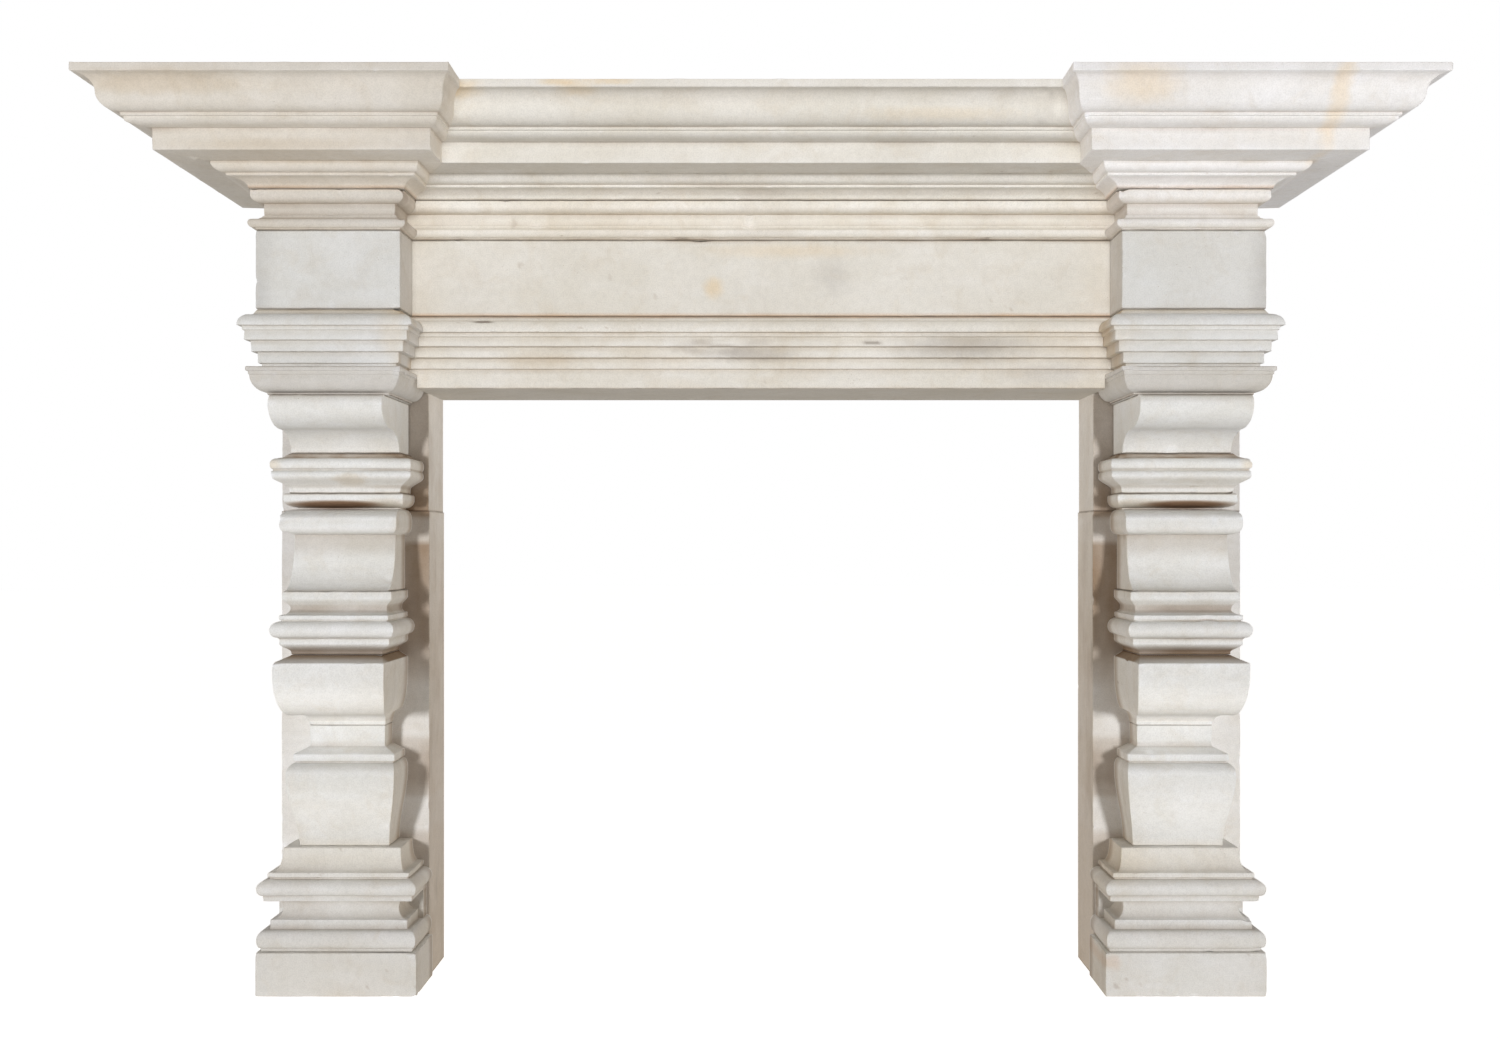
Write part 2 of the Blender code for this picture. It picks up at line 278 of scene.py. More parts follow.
CORNICE = moulding(
    CORNICE_TOP,
    (0.2440,),
    (straight, 0.0010, 0.2450),
    (straight, 0.0130, 0.2450),
    (straight, TINY, 0.2400),
    (ogee_hollow, 0.0545, 0.1870),
    (straight, TINY, 0.1825),
    (straight, 0.0050, 0.1825),
    (straight, TINY, 0.1780),
    (falls_first, 0.0110, 0.1560),
    (straight, TINY, 0.1410),
    (straight, 0.0380, 0.1400),
    (straight, 0.0020, 0.0640),
    (falls_first, 0.0160, 0.0460),
    (straight, TINY, 0.0420),
    (straight, 0.0040, 0.0420),
    (straight, TINY, 0.0380),
    (turns_first, 0.0180, 0.0100),
)
CORNICE = fit(CORNICE, BED_TOP + GAP)


def inner_projection(p):
    return np.where(p < 0.03, p, 0.03 + (p - 0.03) * 0.507)


# ---------------------------------------------------------------------- noise
def _hash(x, y, z, seed):
    h = (
        x.astype(np.int64) * 374761393
        + y.astype(np.int64) * 668265263
        + z.astype(np.int64) * 1442695041
        + seed * 1013904223
    ) & 0xFFFFFFFF
    h = ((h ^ (h >> 13)) * 1274126177) & 0xFFFFFFFF
    h = ((h ^ (h >> 16)) * 2246822519) & 0xFFFFFFFF
    return ((h ^ (h >> 15)) & 0xFFFFFF) / float(0xFFFFFF) * 2 - 1


def noise(points, size, seed=0):
    """Smooth value noise from -1 to 1, with lumps of the given size in metres."""
    q = points / size
    i = np.floor(q)
    f = q - i
    f = f * f * (3 - 2 * f)
    i = i.astype(np.int64)
    total = 0
    for dx in (0, 1):
        wx = f[:, 0] if dx else 1 - f[:, 0]
        for dy in (0, 1):
            wy = f[:, 1] if dy else 1 - f[:, 1]
            for dz in (0, 1):
                wz = f[:, 2] if dz else 1 - f[:, 2]
                total = total + wx * wy * wz * _hash(
                    i[:, 0] + dx, i[:, 1] + dy, i[:, 2] + dz, seed
                )
    return total


def layered(points, size, seed=0, layers=3):
    total, weight = 0, 1.0
    for k in range(layers):
        total = total + weight * noise(points, size / 2**k, seed + 17 * k)
        weight *= 0.5
    return total / (2 - 2 * weight)


def smooth(low, high, value):
    t = np.clip((value - low) / (high - low), 0, 1)
    return t * t * (3 - 2 * t)


# ------------------------------------------------------------- profile points
def soften(levels, radius=0.0016, rim=0.0018, hollow=0.0006):
    """Worn arrises: each corner of a moulding becomes a short curve, and the
    top and bottom rims are eased.  Returns rows (z, values...) and a wear flag."""
    rows = [np.array(r, float) for r in levels]
    top, bottom = rows[0].copy(), rows[-1].copy()
    # the rims
    first, last = rows[0].copy(), rows[-1].copy()
    first[1:] -= rim
    last[1:] -= rim
    rows[0][0] -= min(rim, 0.45 * (rows[0][0] - rows[1][0])) if rows[0][0] - rows[1][0] > 0.002 else 0.0004
    rows[-1][0] += min(rim, 0.45 * (rows[-2][0] - rows[-1][0])) if rows[-2][0] - rows[-1][0] > 0.002 else 0.0004
    rows = [first, *rows, last]
    out, wear = [rows[0]], [0.6]
    for before, here, after in zip(rows, rows[1:], rows[2:]):
        a, b = here - before, after - here
        pa, pb = np.array([a[0], a[-1]]), np.array([b[0], b[-1]])
        la, lb = np.linalg.norm(pa), np.linalg.norm(pb)
        if la < 1e-7 or lb < 1e-7:
            continue
        cross = (pa[0] * pb[1] - pa[1] * pb[0]) / (la * lb)
        turn = math.degrees(math.atan2(abs(cross), float(pa @ pb) / (la * lb)))
        if turn < 16:
            out.append(here)
            wear.append(0.0)
            continue
        convex = cross > 0
        r = radius if convex else hollow
        ta, tb = min(r / la, 0.42), min(r / lb, 0.42)
        p0, p1 = here - a * ta, here + b * tb
        out += [p0, (p0 + 2 * here + p1) / 4, p1]
        wear += [0.5 * convex, 1.0 * convex, 0.5 * convex]
    out.append(rows[-1])
    wear.append(0.6)
    # long runs are divided
    rows, flags = [out[0]], [wear[0]]
    for before, here, flag in zip(out, out[1:], wear[1:]):
        step = here - before
        length = math.hypot(step[0], step[-1])
        count = max(1, int(math.ceil(length / CELL)))
        for k in range(1, count + 1):
            rows.append(before + step * k / count)
            flags.append(flag if k == count else 0.0)
    return np.array(rows), np.array(flags)


def hollowness(rows, reach=0.009):
    """How deep each row lies in a hollow of the moulding: above 0 in a hollow, below 0 on an arris."""
    z, f = rows[:, 0], rows[:, -1]
    s = np.concatenate([[0], np.cumsum(np.hypot(np.diff(z), np.diff(f)))])
    def at(t):
        t = np.clip(t, 0, s[-1])
        return np.interp(t, s, z), np.interp(t, s, f)
    za, fa = at(s - reach)
    zb, fb = at(s + reach)
    tz, tf = zb - za, fb - fa
    length = np.maximum(np.hypot(tz, tf), 1e-6)
    # outward normal of a profile that runs downwards
    nz, nf = tf / length, -tz / length
    return ((za + zb) / 2 - z) * nz + ((fa + fb) / 2 - f) * nf


# -------------------------------------------------------------- plan outlines
# Each returns x and y of every point of the plan, for all rows at once, and for
# each point whether it shows and how close it is to a worn vertical arris.
class Outline:
    def __init__(self, rows):
        self.n = len(rows)
        self.x, self.y, self.seen, self.arris = [], [], [], []

    def point(self, x, y, seen=1.0, arris=0.0):
        self.x.append(np.broadcast_to(np.asarray(x, float), self.n))
        self.y.append(np.broadcast_to(np.asarray(y, float), self.n))
        self.seen.append(seen)
        self.arris.append(arris)

    def run(self, x0, y0, x1, y1, length, seen=1.0, ends=(False, False)):
        """Points from one end to the other, as many as the length needs."""
        count = max(1, int(round(length / CELL)))
        for k in range(0 if ends[0] else 1, count + (1 if ends[1] else 0)):
            t = k / count
            self.point(x0 + (x1 - x0) * t, y0 + (y1 - y0) * t, seen)

    def corner(self, x, y, ux, uy, vx, vy, r):
        """A worn arris: comes in along u and goes out along v."""
        for t, w in ((0.0, 0.5), (0.33, 1.0), (0.67, 1.0), (1.0, 0.5)):
            a, b = (1 - t) ** 2, t**2
            self.point(x - ux * r * a + vx * r * b, y - uy * r * a + vy * r * b, 1.0, w)

    def done(self):
        return (
            np.array(self.x).T,
            np.array(self.y).T,
            np.array(self.seen),
            np.array(self.arris),
        )


def forward(distance):
    return SLAB_FACE - distance


def wander(rows, base, spread, seed):
    z = rows[:, 0]
    p = np.stack([np.full_like(z, seed * 3.1), np.full_like(z, 7.7), z], 1)
    return base + spread * np.clip(noise(p, 0.021, seed) + 0.45 * noise(p, 0.008, seed + 3), -0.8, 1.5)


def jamb_outline(rows, side, seed, rear=False, back=GAP):
    half, front = rows[:, 1], rows[:, 2]
    o = Outline(rows)
    cx = side * JAMB_X
    yb, yf = forward(back) * np.ones(len(rows)), forward(front)
    depth, width = float(front.max()), float(2 * half.max())
    r1, r2 = (wander(rows, 0.0021, 0.0012, seed + k) for k in (1, 2))
    for k, (sx, r) in enumerate(((-1, r1), (1, r2))):
        if k == 0:
            if rear:
                wide = np.where(rows[:, 0] < REAR_TOP, np.maximum(half, REAR_HALF), half)
                stop = forward(REAR_MARGIN)
                o.point(cx - wide, yb, 0.0)
                o.run(cx - wide, yb, cx - wide, stop, REAR_MARGIN)
                o.point(cx - wide, stop)
                y0 = stop - 0.0005
            else:
                o.point(cx - half, yb, 0.0)
                y0 = yb
            o.run(cx - half, y0, cx - half, yf + r, depth - (REAR_MARGIN if rear else 0), ends=(rear, False))
            o.corner(cx - half, yf, 0, -1, 1, 0, r)
            o.run(cx - half + r, yf, cx + half - r2, yf, width)
        else:
            o.corner(cx + half, yf, 1, 0, 0, 1, r)
            y1 = (forward(REAR_MARGIN) - 0.0005) if rear else yb
            o.run(cx + half, yf + r, cx + half, y1, depth - (REAR_MARGIN if rear else 0), ends=(False, rear))
            if rear:
                o.point(cx + wide, stop)
                o.run(cx + wide, stop, cx + wide, yb, REAR_MARGIN)
                o.point(cx + wide, yb, 0.0)
            else:
                o.point(cx + half, yb, 0.0)
    return o.done()


def block_outline(rows, side, seed):
    """Going round from the outer back corner, past the front, to the notch."""
    p = rows[:, 1]
    o = Outline(rows)
    outer = FRIEZE_HALF_OUT + p
    inner = FRIEZE_HALF_IN - inner_projection(p)
    front = forward(BLOCK_FRONT + p)
    notch = forward(-UPPER_SET_BACK)
    r1, r2 = (wander(rows, 0.0023, 0.0012, seed + k) for k in (1, 2))
    big = float(p.max())
    o.point(side * outer, BACK, 0.0)
    o.run(side * outer, BACK, side * outer, front + r1, 0.355 + big)
    o.corner(side * outer, front, 0, -1, -side, 0, r1)
    o.run(side * (outer - r1), front, side * (inner + r2), front, 0.273 + 1.5 * big)
    o.corner(side * inner, front, -side, 0, 0, 1, r2)
    o.run(side * inner, front + r2, side * inner, notch, 0.205 + big)
    o.point(side * inner, notch, 0.0)
    o.point(side * BEARING_X, notch, 0.0)
    o.point(side * BEARING_X, BACK, 0.0)
    return o.done()


def lintel_outline(rows, seed):
    z, p = rows[:, 0], rows[:, 1]
    o = Outline(rows)
    end = FRIEZE_HALF_IN - inner_projection(p) - GAP
    end = np.where(z < CAPITAL_TOP + 0.00045, SOFFIT_END, end)
    front = forward(LINTEL_FRONT + p)
    notch = forward(-UPPER_SET_BACK - GAP)
    tail = BEARING_X - GAP
    o.point(-tail, BACK, 0.0)
    o.point(-tail, notch, 0.0)
    o.point(-end, notch, 0.0)
    o.point(-end, front, 1.0)
    o.run(-end, front, end, front, 2 * float(end.mean()))
    o.point(end, front, 1.0)
    o.point(end, notch, 0.0)
    o.point(tail, notch, 0.0)
    o.point(tail, BACK, 0.0)
    return o.done()


def slab_outline(rows, side, inner, front):
    o = Outline(rows)
    n = len(rows)
    inner = np.where(rows[:, 0] > OPENING_H + 0.0002, BEARING_X, inner)
    r = wander(rows, 0.0024, 0.0014, 41)
    yf = forward(front) * np.ones(n)
    o.point(side * SLAB_OUT, BACK, 0.0)
    o.run(side * SLAB_OUT, BACK, side * SLAB_OUT, yf + r, 0.15)
    o.corner(side * SLAB_OUT * np.ones(n), yf, 0, -1, -side, 0, r)
    o.run(side * (SLAB_OUT - r), yf, side * (inner + r), yf, 0.3)
    o.corner(side * inner * np.ones(n), yf, -side, 0, 0, 1, r)
    o.run(side * inner, yf + r, side * inner, BACK - 0.003, 0.15)
    o.point(side * inner, BACK - 0.003)
    o.point(side * (inner + 0.003), BACK, 0.5)
    return o.done()


# ------------------------------------------------------------------ the stains and painted shade
def srgb(r, g, b):
    return np.array([((c / 255 + 0.055) / 1.055) ** 2.4 if c > 10 else c / 255 / 12.92 for c in (r, g, b)])


def blotch(points, centre, radii, seed, edge=0.45):
    """1 in the middle of an irregular patch on the front, falling to 0 at its edge."""
    d = np.hypot((points[:, 0] - centre[0]) / radii[0], (points[:, 2] - centre[1]) / radii[1])
    d = d + 0.35 * layered(points, 0.8 * min(radii), seed)
    return 1 - smooth(1 - edge, 1 + edge, d)


SOOT = srgb(120, 108, 98) / srgb(222, 219, 211)
OCHRE = srgb(222, 196, 150) / srgb(222, 219, 211)
RED_BROWN = srgb(205, 160, 112) / srgb(222, 219, 211)
BEIGE = srgb(206, 195, 176) / srgb(222, 219, 211)
BROWN = srgb(150, 128, 104) / srgb(222, 219, 211)
GREY = srgb(178, 174, 168) / srgb(222, 219, 211)
WHITE = srgb(236, 235, 232) / srgb(222, 219, 211)
DARK = srgb(92, 74, 56) / srgb(222, 219, 211)


def blend_in(tint, colour, amount):
    amount = np.clip(amount, 0, 1)[:, None]
    return tint * (1 + (colour[None, :] - 1) * amount)


# ---------------------------------------------------------------- the stones
rng = np.random.default_rng(20240611)
stones = {"left": [], "right": [], "lintel": []}


def build(name, levels, outline, node, material, group, seed, radius=0.0014, rim=0.0012, chips=6, wave=0.00035, joints=(0.6, 0.6)):
    rows, worn = soften(levels, radius, rim)
    x, y, seen, arris = outline(rows)
    n_rows, n_cols = x.shape
    z = np.repeat(rows[:, :1], n_cols, 1)
    points = np.stack([x, y, z], 2).reshape(-1, 3)
    index = np.arange(n_rows * n_cols).reshape(n_rows, n_cols)
    nxt = np.roll(index, -1, 1)
    quads = np.stack([index[:-1], index[1:], nxt[1:], nxt[:-1]], 2).reshape(-1, 4)

    def signed():
        a, b, c, d = (points[quads[:, k]] for k in range(4))
        return np.einsum("ij,ij->i", a, np.cross(b, c)).sum() + np.einsum("ij,ij->i", a, np.cross(c, d)).sum()

    top, bottom = index[0], index[-1]
    if signed() < 0:
        quads = quads[:, ::-1]
        caps = [top[::-1].tolist(), bottom.tolist()]
    else:
        caps = [top.tolist(), bottom[::-1].tolist()]
    # cap orientation from the shoelace sum of the ring, so that the top looks up
    ring = points[caps[0]]
    area = (ring[:, 0] * np.roll(ring[:, 1], -1) - np.roll(ring[:, 0], -1) * ring[:, 1]).sum()
    if area < 0:
        caps[0] = caps[0][::-1]
    ring = points[caps[1]]
    area = (ring[:, 0] * np.roll(ring[:, 1], -1) - np.roll(ring[:, 0], -1) * ring[:, 1]).sum()
    if area > 0:
        caps[1] = caps[1][::-1]

    # normals of the points, from the quads around them
    a, b, c, d = (points[quads[:, k]] for k in range(4))
    face_normal = np.cross(c - a, d - b)
    normal = np.zeros_like(points)
    for k in range(4):
        np.add.at(normal, quads[:, k], face_normal)
    normal /= np.maximum(np.linalg.norm(normal, axis=1, keepdims=True), 1e-12)

    shown = np.repeat(seen[None, :], n_rows, 0).reshape(-1)
    row_wear = np.repeat(worn[:, None], n_cols, 1).reshape(-1)
    col_wear = np.repeat(arris[None, :], n_rows, 0).reshape(-1)
    edge = np.clip(row_wear + col_wear, 0, 1.6)
    cave = np.repeat(hollowness(rows)[:, None], n_cols, 1).reshape(-1)

    # rubbed faces are never quite flat, and the arrises are worn unevenly
    sink = wave * (0.5 + 0.5 * layered(points, 0.11, seed))
    sink = sink + edge * 0.0008 * smooth(-0.1, 0.9, layered(points, 0.03, seed + 5))
    # chips along the arrises
    where = np.flatnonzero((edge > 0.9) & (shown > 0.9))
    broken = np.zeros(len(points))
    push = np.zeros_like(points)
    if len(where) and chips:
        weight = 1.0 + 3.0 * ((row_wear[where] > 0.4) & (col_wear[where] > 0.4))
        picks = rng.choice(where, size=min(chips, len(where)), replace=False, p=weight / weight.sum())
        for pick in picks:
            r = float(rng.uniform(0.003, 0.0085)) * (1.0 + 0.8 * (rng.random() < 0.15))
            deep = r * float(rng.uniform(0.22, 0.42))
            stretch = np.array([1.0, 1.0, 1.0])
            stretch[int(rng.integers(0, 3))] = float(rng.uniform(0.5, 0.8))
            dist = np.linalg.norm((points - points[pick]) * stretch, axis=1)
            near = dist < r
            fall = (1 - (dist[near] / r) ** 2) * (0.8 + 0.35 * noise(points[near], 0.004, seed + 9))
            push[near] -= normal[pick] * (deep * fall)[:, None]
            broken[near] = np.maximum(broken[near], fall)
    # small pits in the faces
    pit = noise(points, 0.009, seed + 31) * 0.6 + noise(points, 0.0045, seed + 37) * 0.4
    pits = smooth(0.66, 0.78, pit) * smooth(0.2, 0.6, noise(points, 0.12, seed + 43))
    sink = sink + 0.0010 * pits

    tint = colour_of(points, normal, cave, edge, broken, pits, rows, group, seed, joints)
    moved = points - normal * (sink * shown)[:, None] + push * shown[:, None]
    low, high = points.min(0), points.max(0)
    moved = np.clip(moved, low, high)

    # the back is sawn plain and keeps one dull colour, and so do the beds and the open top
    dull = 1 + (BEIGE - 1) * 0.28
    at_back = points[:, 1] > BACK - 0.0045
    tint[at_back] = dull * (1 - 0.05 * np.clip(layered(points[at_back], 0.12, seed + 61), 0, 1))[:, None]
    bed = np.minimum(np.abs(points[:, 2] - rows[0, 0]), np.abs(points[:, 2] - rows[-1, 0]))
    tint[at_back] *= (1 - 0.45 * (1 - smooth(0.0008, 0.004, bed[at_back])))[:, None]
    flat = []
    for cap in caps:
        flat.append(list(range(len(moved), len(moved) + len(cap))))
        moved = np.concatenate([moved, moved[cap]])
        tint = np.concatenate([tint, np.tile(dull, (len(cap), 1))])

    mesh = bpy.data.meshes.new(name)
    mesh.from_pydata(moved.tolist(), [], quads.tolist() + flat)
    mesh.validate()
    mesh.shade_smooth()
    mesh.set_sharp_from_angle(angle=math.radians(62))
    layer = mesh.color_attributes.new("Tint", "FLOAT_COLOR", "POINT")
    layer.data.foreach_set("color", np.concatenate([tint, np.ones((len(tint), 1))], 1).astype(np.float32).ravel())
    mesh.materials.append(material)
    thing = bpy.data.objects.new(name, mesh)
    bpy.context.scene.collection.objects.link(thing)
    crisp = thing.modifiers.new("crisp", "WEIGHTED_NORMAL")
    crisp.keep_sharp = True
    crisp.weight = 50
    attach(thing, "root")
    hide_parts(node)
    stones[node.split("_")[0]].append(thing)
    return thing


def colour_of(p, n, cave, edge, broken, pits, rows, group, seed, joints):
    """Stains, dust, soot and dirt, with painted shade and painted light, as a multiple of the stone's own colour."""
    tint = np.ones((len(p), 3))
    side = np.sign(p[:, 0])
    x, z = np.abs(p[:, 0]), p[:, 2]
    big = layered(p, 0.30, seed + 101)
    mid = layered(p, 0.09, seed + 103)
    fine = layered(p, 0.025, seed + 104)
    streak = layered(p * np.array([0.25, 1, 1]), 0.020, seed + 105)
    fall = layered(p * np.array([1, 1, 0.15]), 0.030, seed + 106)
    tint = blend_in(tint, BEIGE, 0.20 * smooth(0.05, 0.8, big) + 0.10 * smooth(0.15, 0.8, mid))
    tint = blend_in(tint, GREY, 0.10 * smooth(0.1, 0.8, -big + 0.4 * mid))
    tint = blend_in(tint, BEIGE, 0.13 * smooth(0.1, 0.8, streak) + 0.06 * smooth(0.3, 0.9, fall))
    tint = blend_in(tint, WHITE, 0.22 * smooth(0.1, 0.7, -streak + 0.3 * mid))
    # dirt and painted shade in the hollows, paler arrises, and specks
    tint = blend_in(tint, BROWN, 0.40 * smooth(0.0006, 0.0036, cave) * (0.6 + 0.6 * mid))
    tint = blend_in(tint, WHITE, 0.22 * smooth(0.0005, 0.003, -cave))
    tint = blend_in(tint, WHITE, 0.5 * broken)
    tint = blend_in(tint, BROWN, 0.35 * pits)
    tint = blend_in(tint, BROWN, 0.18 * smooth(0.50, 0.8, fine) * smooth(0.2, 0.6, mid))
    # the bed joints, dark ones and faint ones
    for level, dark in ((rows[0, 0], joints[0]), (rows[-1, 0], joints[1])):
        bed = np.abs(level - z)
        ragged = 0.75 + 0.5 * layered(p, 0.03, seed + 107)
        tint = blend_in(tint, DARK, dark * ragged * (1 - smooth(0.0006, 0.0026, bed)))
        tint = blend_in(tint, BEIGE, 0.60 * dark * (0.6 + 0.5 * mid) * (1 - smooth(0.001, 0.006, bed)))
    # painted shade on the undersides
    tint = blend_in(tint, BEIGE, 0.30 * np.clip(-n[:, 2], 0, 1))

    inward = np.clip(-n[:, 0] * side, 0, 1)
    front = np.clip(-n[:, 1], 0, 1)
    if group == "jamb":
        # painted shade on the sides that look across the hearth: duller and browner, uneven in streaks
        tint = blend_in(tint, BEIGE, 0.50 * inward * (0.8 + 0.5 * mid))
        tint = blend_in(tint, BROWN, 0.04 * inward + 0.18 * inward * smooth(0.0, 0.8, fall + 0.4 * mid))
        # the sloping top of the neck stone is painted dark brown
        neck = smooth(1.0345, 1.0375, z) * (1 - smooth(1.046, 1.048, z))
        tint = blend_in(tint, BROWN, 0.95 * neck * (0.8 + 0.5 * fine))
        # painted shadow in the deep hollow under it, darkest in the middle and paler towards the inner end
        lens = 1 - smooth(0.45, 1.10, np.hypot((x - 0.838) / 0.105, (z - 0.9462) / 0.0095) + 0.08 * mid)
        tint = blend_in(tint, BROWN, 0.95 * lens)
        tint = blend_in(tint, DARK, 0.30 * lens)
        tint = blend_in(tint, RED_BROWN, 0.45 * lens)
        hollow_end_shade = 1 - smooth(0.4, 1.0, np.hypot((x - 0.74) / 0.07, (z - 0.948) / 0.014))
        tint = blend_in(tint, BEIGE, 0.6 * hollow_end_shade)
        # painted shadow in the two hollows of the roll stone
        low = smooth(0.6535, 0.6560, z) * (1 - smooth(0.6620, 0.6745, z))
        high = smooth(0.7345, 0.7385, z) * (1 - smooth(0.7450, 0.7540, z))
        tint = blend_in(tint, BROWN, (0.92 * low + 0.46 * high) * (0.9 + 0.3 * mid))
        # painted shadow which runs out over the sloping top below it
        depth = SLAB_FACE - p[:, 1]
        slope_shade = smooth(0.6432, 0.6450, z) * (1 - smooth(0.6556, 0.6558, z)) * np.clip(n[:, 2] * 1.6, 0, 1)
        tint = blend_in(tint, BROWN, slope_shade * (0.28 + 0.66 * (1 - smooth(0.150, 0.200, depth))))
        tint = blend_in(tint, DARK, 0.30 * low * front)
        # the capitals are duller; their sides over the hearth also get painted shade, further down
        top = smooth(1.1490, 1.1500, z)
        tint = blend_in(tint, BEIGE, 0.35 * top)
        tint = blend_in(tint, GREY, 0.46 * top)
        # plinth and base are greyer than the stones over them
        tint = blend_in(tint, GREY, 0.24 * (1 - smooth(0.150, 0.270, z)))
        tint = blend_in(tint, BEIGE, 0.24 * (1 - smooth(0.250, 0.275, z)) * (0.85 + 0.5 * mid))
        # the bell stone gets painted shadow under its roll and painted light at its foot
        bell = smooth(0.7775, 0.7782, z) * (1 - smooth(0.886, 0.890, z)) * front
        tint = tint * (1 + 0.07 * bell * (1 - smooth(0.82, 0.86, z)))[:, None]
        tint = blend_in(tint, BEIGE, 0.34 * bell * smooth(0.835, 0.875, z))
        tint = blend_in(tint, GREY, 0.34 * bell * smooth(0.835, 0.875, z))
        tint = blend_in(tint, BROWN, 0.14 * bell * smooth(0.835, 0.875, z))
        # painted light: the undersides where the swelling stones turn in are painted paler
        underside_light = np.clip(-n[:, 2], 0, 1) * (((z > 0.512) & (z < 0.645)) | ((z > 0.28) & (z < 0.43)) | ((z > 1.05) & (z < 1.145)))
        tint = tint * (1 + 0.19 * smooth(0.05, 0.6, underside_light) * np.clip(-n[:, 1] + 0.3, 0, 1))[:, None]
        # painted shade on the capitals' sides over the hearth
        tint = blend_in(tint, BROWN, 0.40 * top * inward)
        # a yellowed end and foot
        tint = blend_in(tint, OCHRE, 0.32 * smooth(0.925, 0.945, x) * smooth(1.010, 1.016, z) * (1 - smooth(1.036, 1.042, z)) * front)
        tint = blend_in(tint, OCHRE, 0.13 * smooth(0.205, 0.262, z) * (1 - smooth(0.276, 0.300, z)))
        # painted shade in the corners beside the slab, on the sides over the hearth
        near = 1 - smooth(0.010, 0.045, SLAB_FACE - p[:, 1])
        tint = blend_in(tint, BROWN, 0.55 * near * inward)
        right = side > 0
        tint = blend_in(tint, RED_BROWN, 0.24 * right * blotch(p, (0.672, 0.066), (0.018, 0.014), 301))
        tint = blend_in(tint, OCHRE, 0.12 * right * blotch(p, (0.700, 0.250), (0.050, 0.030), 303))
        tint = blend_in(tint, BEIGE, 0.30 * blotch(p, (0.93 * side[0] if len(side) else 0, 0.300), (0.035, 0.028), 305))
        tint = blend_in(tint, BEIGE, 0.65 * (~right) * blotch(p, (-0.800, 0.995), (0.030, 0.012), 307))
    if group == "slab":
        # painted shadow on the slab fronts beside the jambs, heavier at some heights and left out in the lit patches
        # where light passes the narrow parts of the jambs
        near = 1 - smooth(0.735, 0.775, x)
        lit_patch = smooth(0.470, 0.490, z) * (1 - smooth(0.570, 0.620, z)) + smooth(0.280, 0.300, z) * (1 - smooth(0.355, 0.370, z))
        lit_patch = lit_patch + 0.7 * smooth(0.865, 0.880, z) * (1 - smooth(0.915, 0.930, z))
        tint = blend_in(tint, BEIGE, 0.25 * near * (0.8 + 0.4 * mid) * (1 - lit_patch))
        shadow_strength = smooth(0.600, 0.690, z) * (1 - 0.80 * smooth(0.96, 1.06, z)) + 0.45 * smooth(0.37, 0.40, z) * (1 - smooth(0.44, 0.47, z))
        tint = blend_in(tint, BROWN, near * front * (0.34 + 0.60 * shadow_strength) * (0.9 + 0.25 * fall + 0.2 * mid) * (1 - lit_patch))
        # painted shade on the reveals, which face the opening, lighter towards the top
        tint = blend_in(tint, BEIGE, 0.42 * inward * (1 - 0.7 * smooth(0.85, 1.05, z)))
        # the outer strip of the front is greyer higher up
        tint = blend_in(tint, GREY, 0.46 * front * smooth(0.80, 0.86, x) * smooth(0.70, 0.80, z))
        # more painted shade on the lower reveals
        tint = blend_in(tint, BROWN, 0.26 * inward * (1 - smooth(0.60, 1.00, z)))
        # brown and dark streaks on the reveals
        tint = blend_in(tint, BROWN, 0.16 * inward * smooth(-0.1, 0.8, fall + mid))
        tint = blend_in(tint, DARK, 0.25 * inward * smooth(0.25, 0.8, layered(p * np.array([1, 1, 0.25]), 0.04, 73)))
        # more of the same painted shadow beside the jambs, towards the floor and in patches
        tint = blend_in(tint, BEIGE, 0.25 * near * (1 - smooth(0.0, 0.30, z)))
        tint = blend_in(tint, BROWN, 0.15 * near * front * smooth(0.0, 0.6, layered(p, 0.05, 75)))
    if group == "block":
        left = side < 0
        tint = blend_in(tint, BEIGE, 0.22 * left * (z > BED_TOP) * (0.7 + 0.6 * big))
        tint = blend_in(tint, WHITE, 0.45 * (~left) * (z > BED_TOP))
        # rain and rust stains
        tint = blend_in(tint, OCHRE, 0.38 * (~left) * blotch(p, (1.015, 1.655), (0.016, 0.075), 311, 0.6))
        tint = blend_in(tint, OCHRE, 0.34 * (~left) * blotch(p, (0.665, 1.675), (0.055, 0.030), 313, 0.6))
        tint = blend_in(tint, OCHRE, 0.35 * (~left) * blotch(p, (0.590, 1.640), (0.030, 0.060), 315, 0.6) * inward)
        tint = blend_in(tint, RED_BROWN, 0.16 * (~left) * inward * smooth(0.1, 0.7, fall) * (z > BED_TOP))
        tint = blend_in(tint, BEIGE, 0.60 * left * blotch(p, (-1.05, 1.675), (0.14, 0.018), 317, 0.6))
        tint = blend_in(tint, BEIGE, 0.45 * left * blotch(p, (-0.86, 1.585), (0.16, 0.012), 318, 0.6))
        tint = blend_in(tint, BROWN, 0.28 * left * inward * smooth(0.0, 0.7, fall + mid) * (z > FRIEZE_TOP))
        # painted shade on the returns over the hearth
        above = smooth(FRIEZE_BOTTOM, FRIEZE_BOTTOM + 0.002, z)
        tint = blend_in(tint, BROWN, 0.34 * inward * above * (1 - smooth(BED_TOP, BED_TOP + 0.01, z)) * (0.9 + 0.3 * fall))
        tint = blend_in(tint, GREY, 0.36 * inward * smooth(BED_TOP, BED_TOP + 0.01, z) * (0.9 + 0.3 * fall))
        # a band of brown where the cornice sits on the bed mould
        band = 1 - smooth(0.001, 0.006, np.abs(z - BED_TOP - 0.002))
        tint = blend_in(tint, RED_BROWN, 0.38 * band * (0.6 + 0.6 * streak))
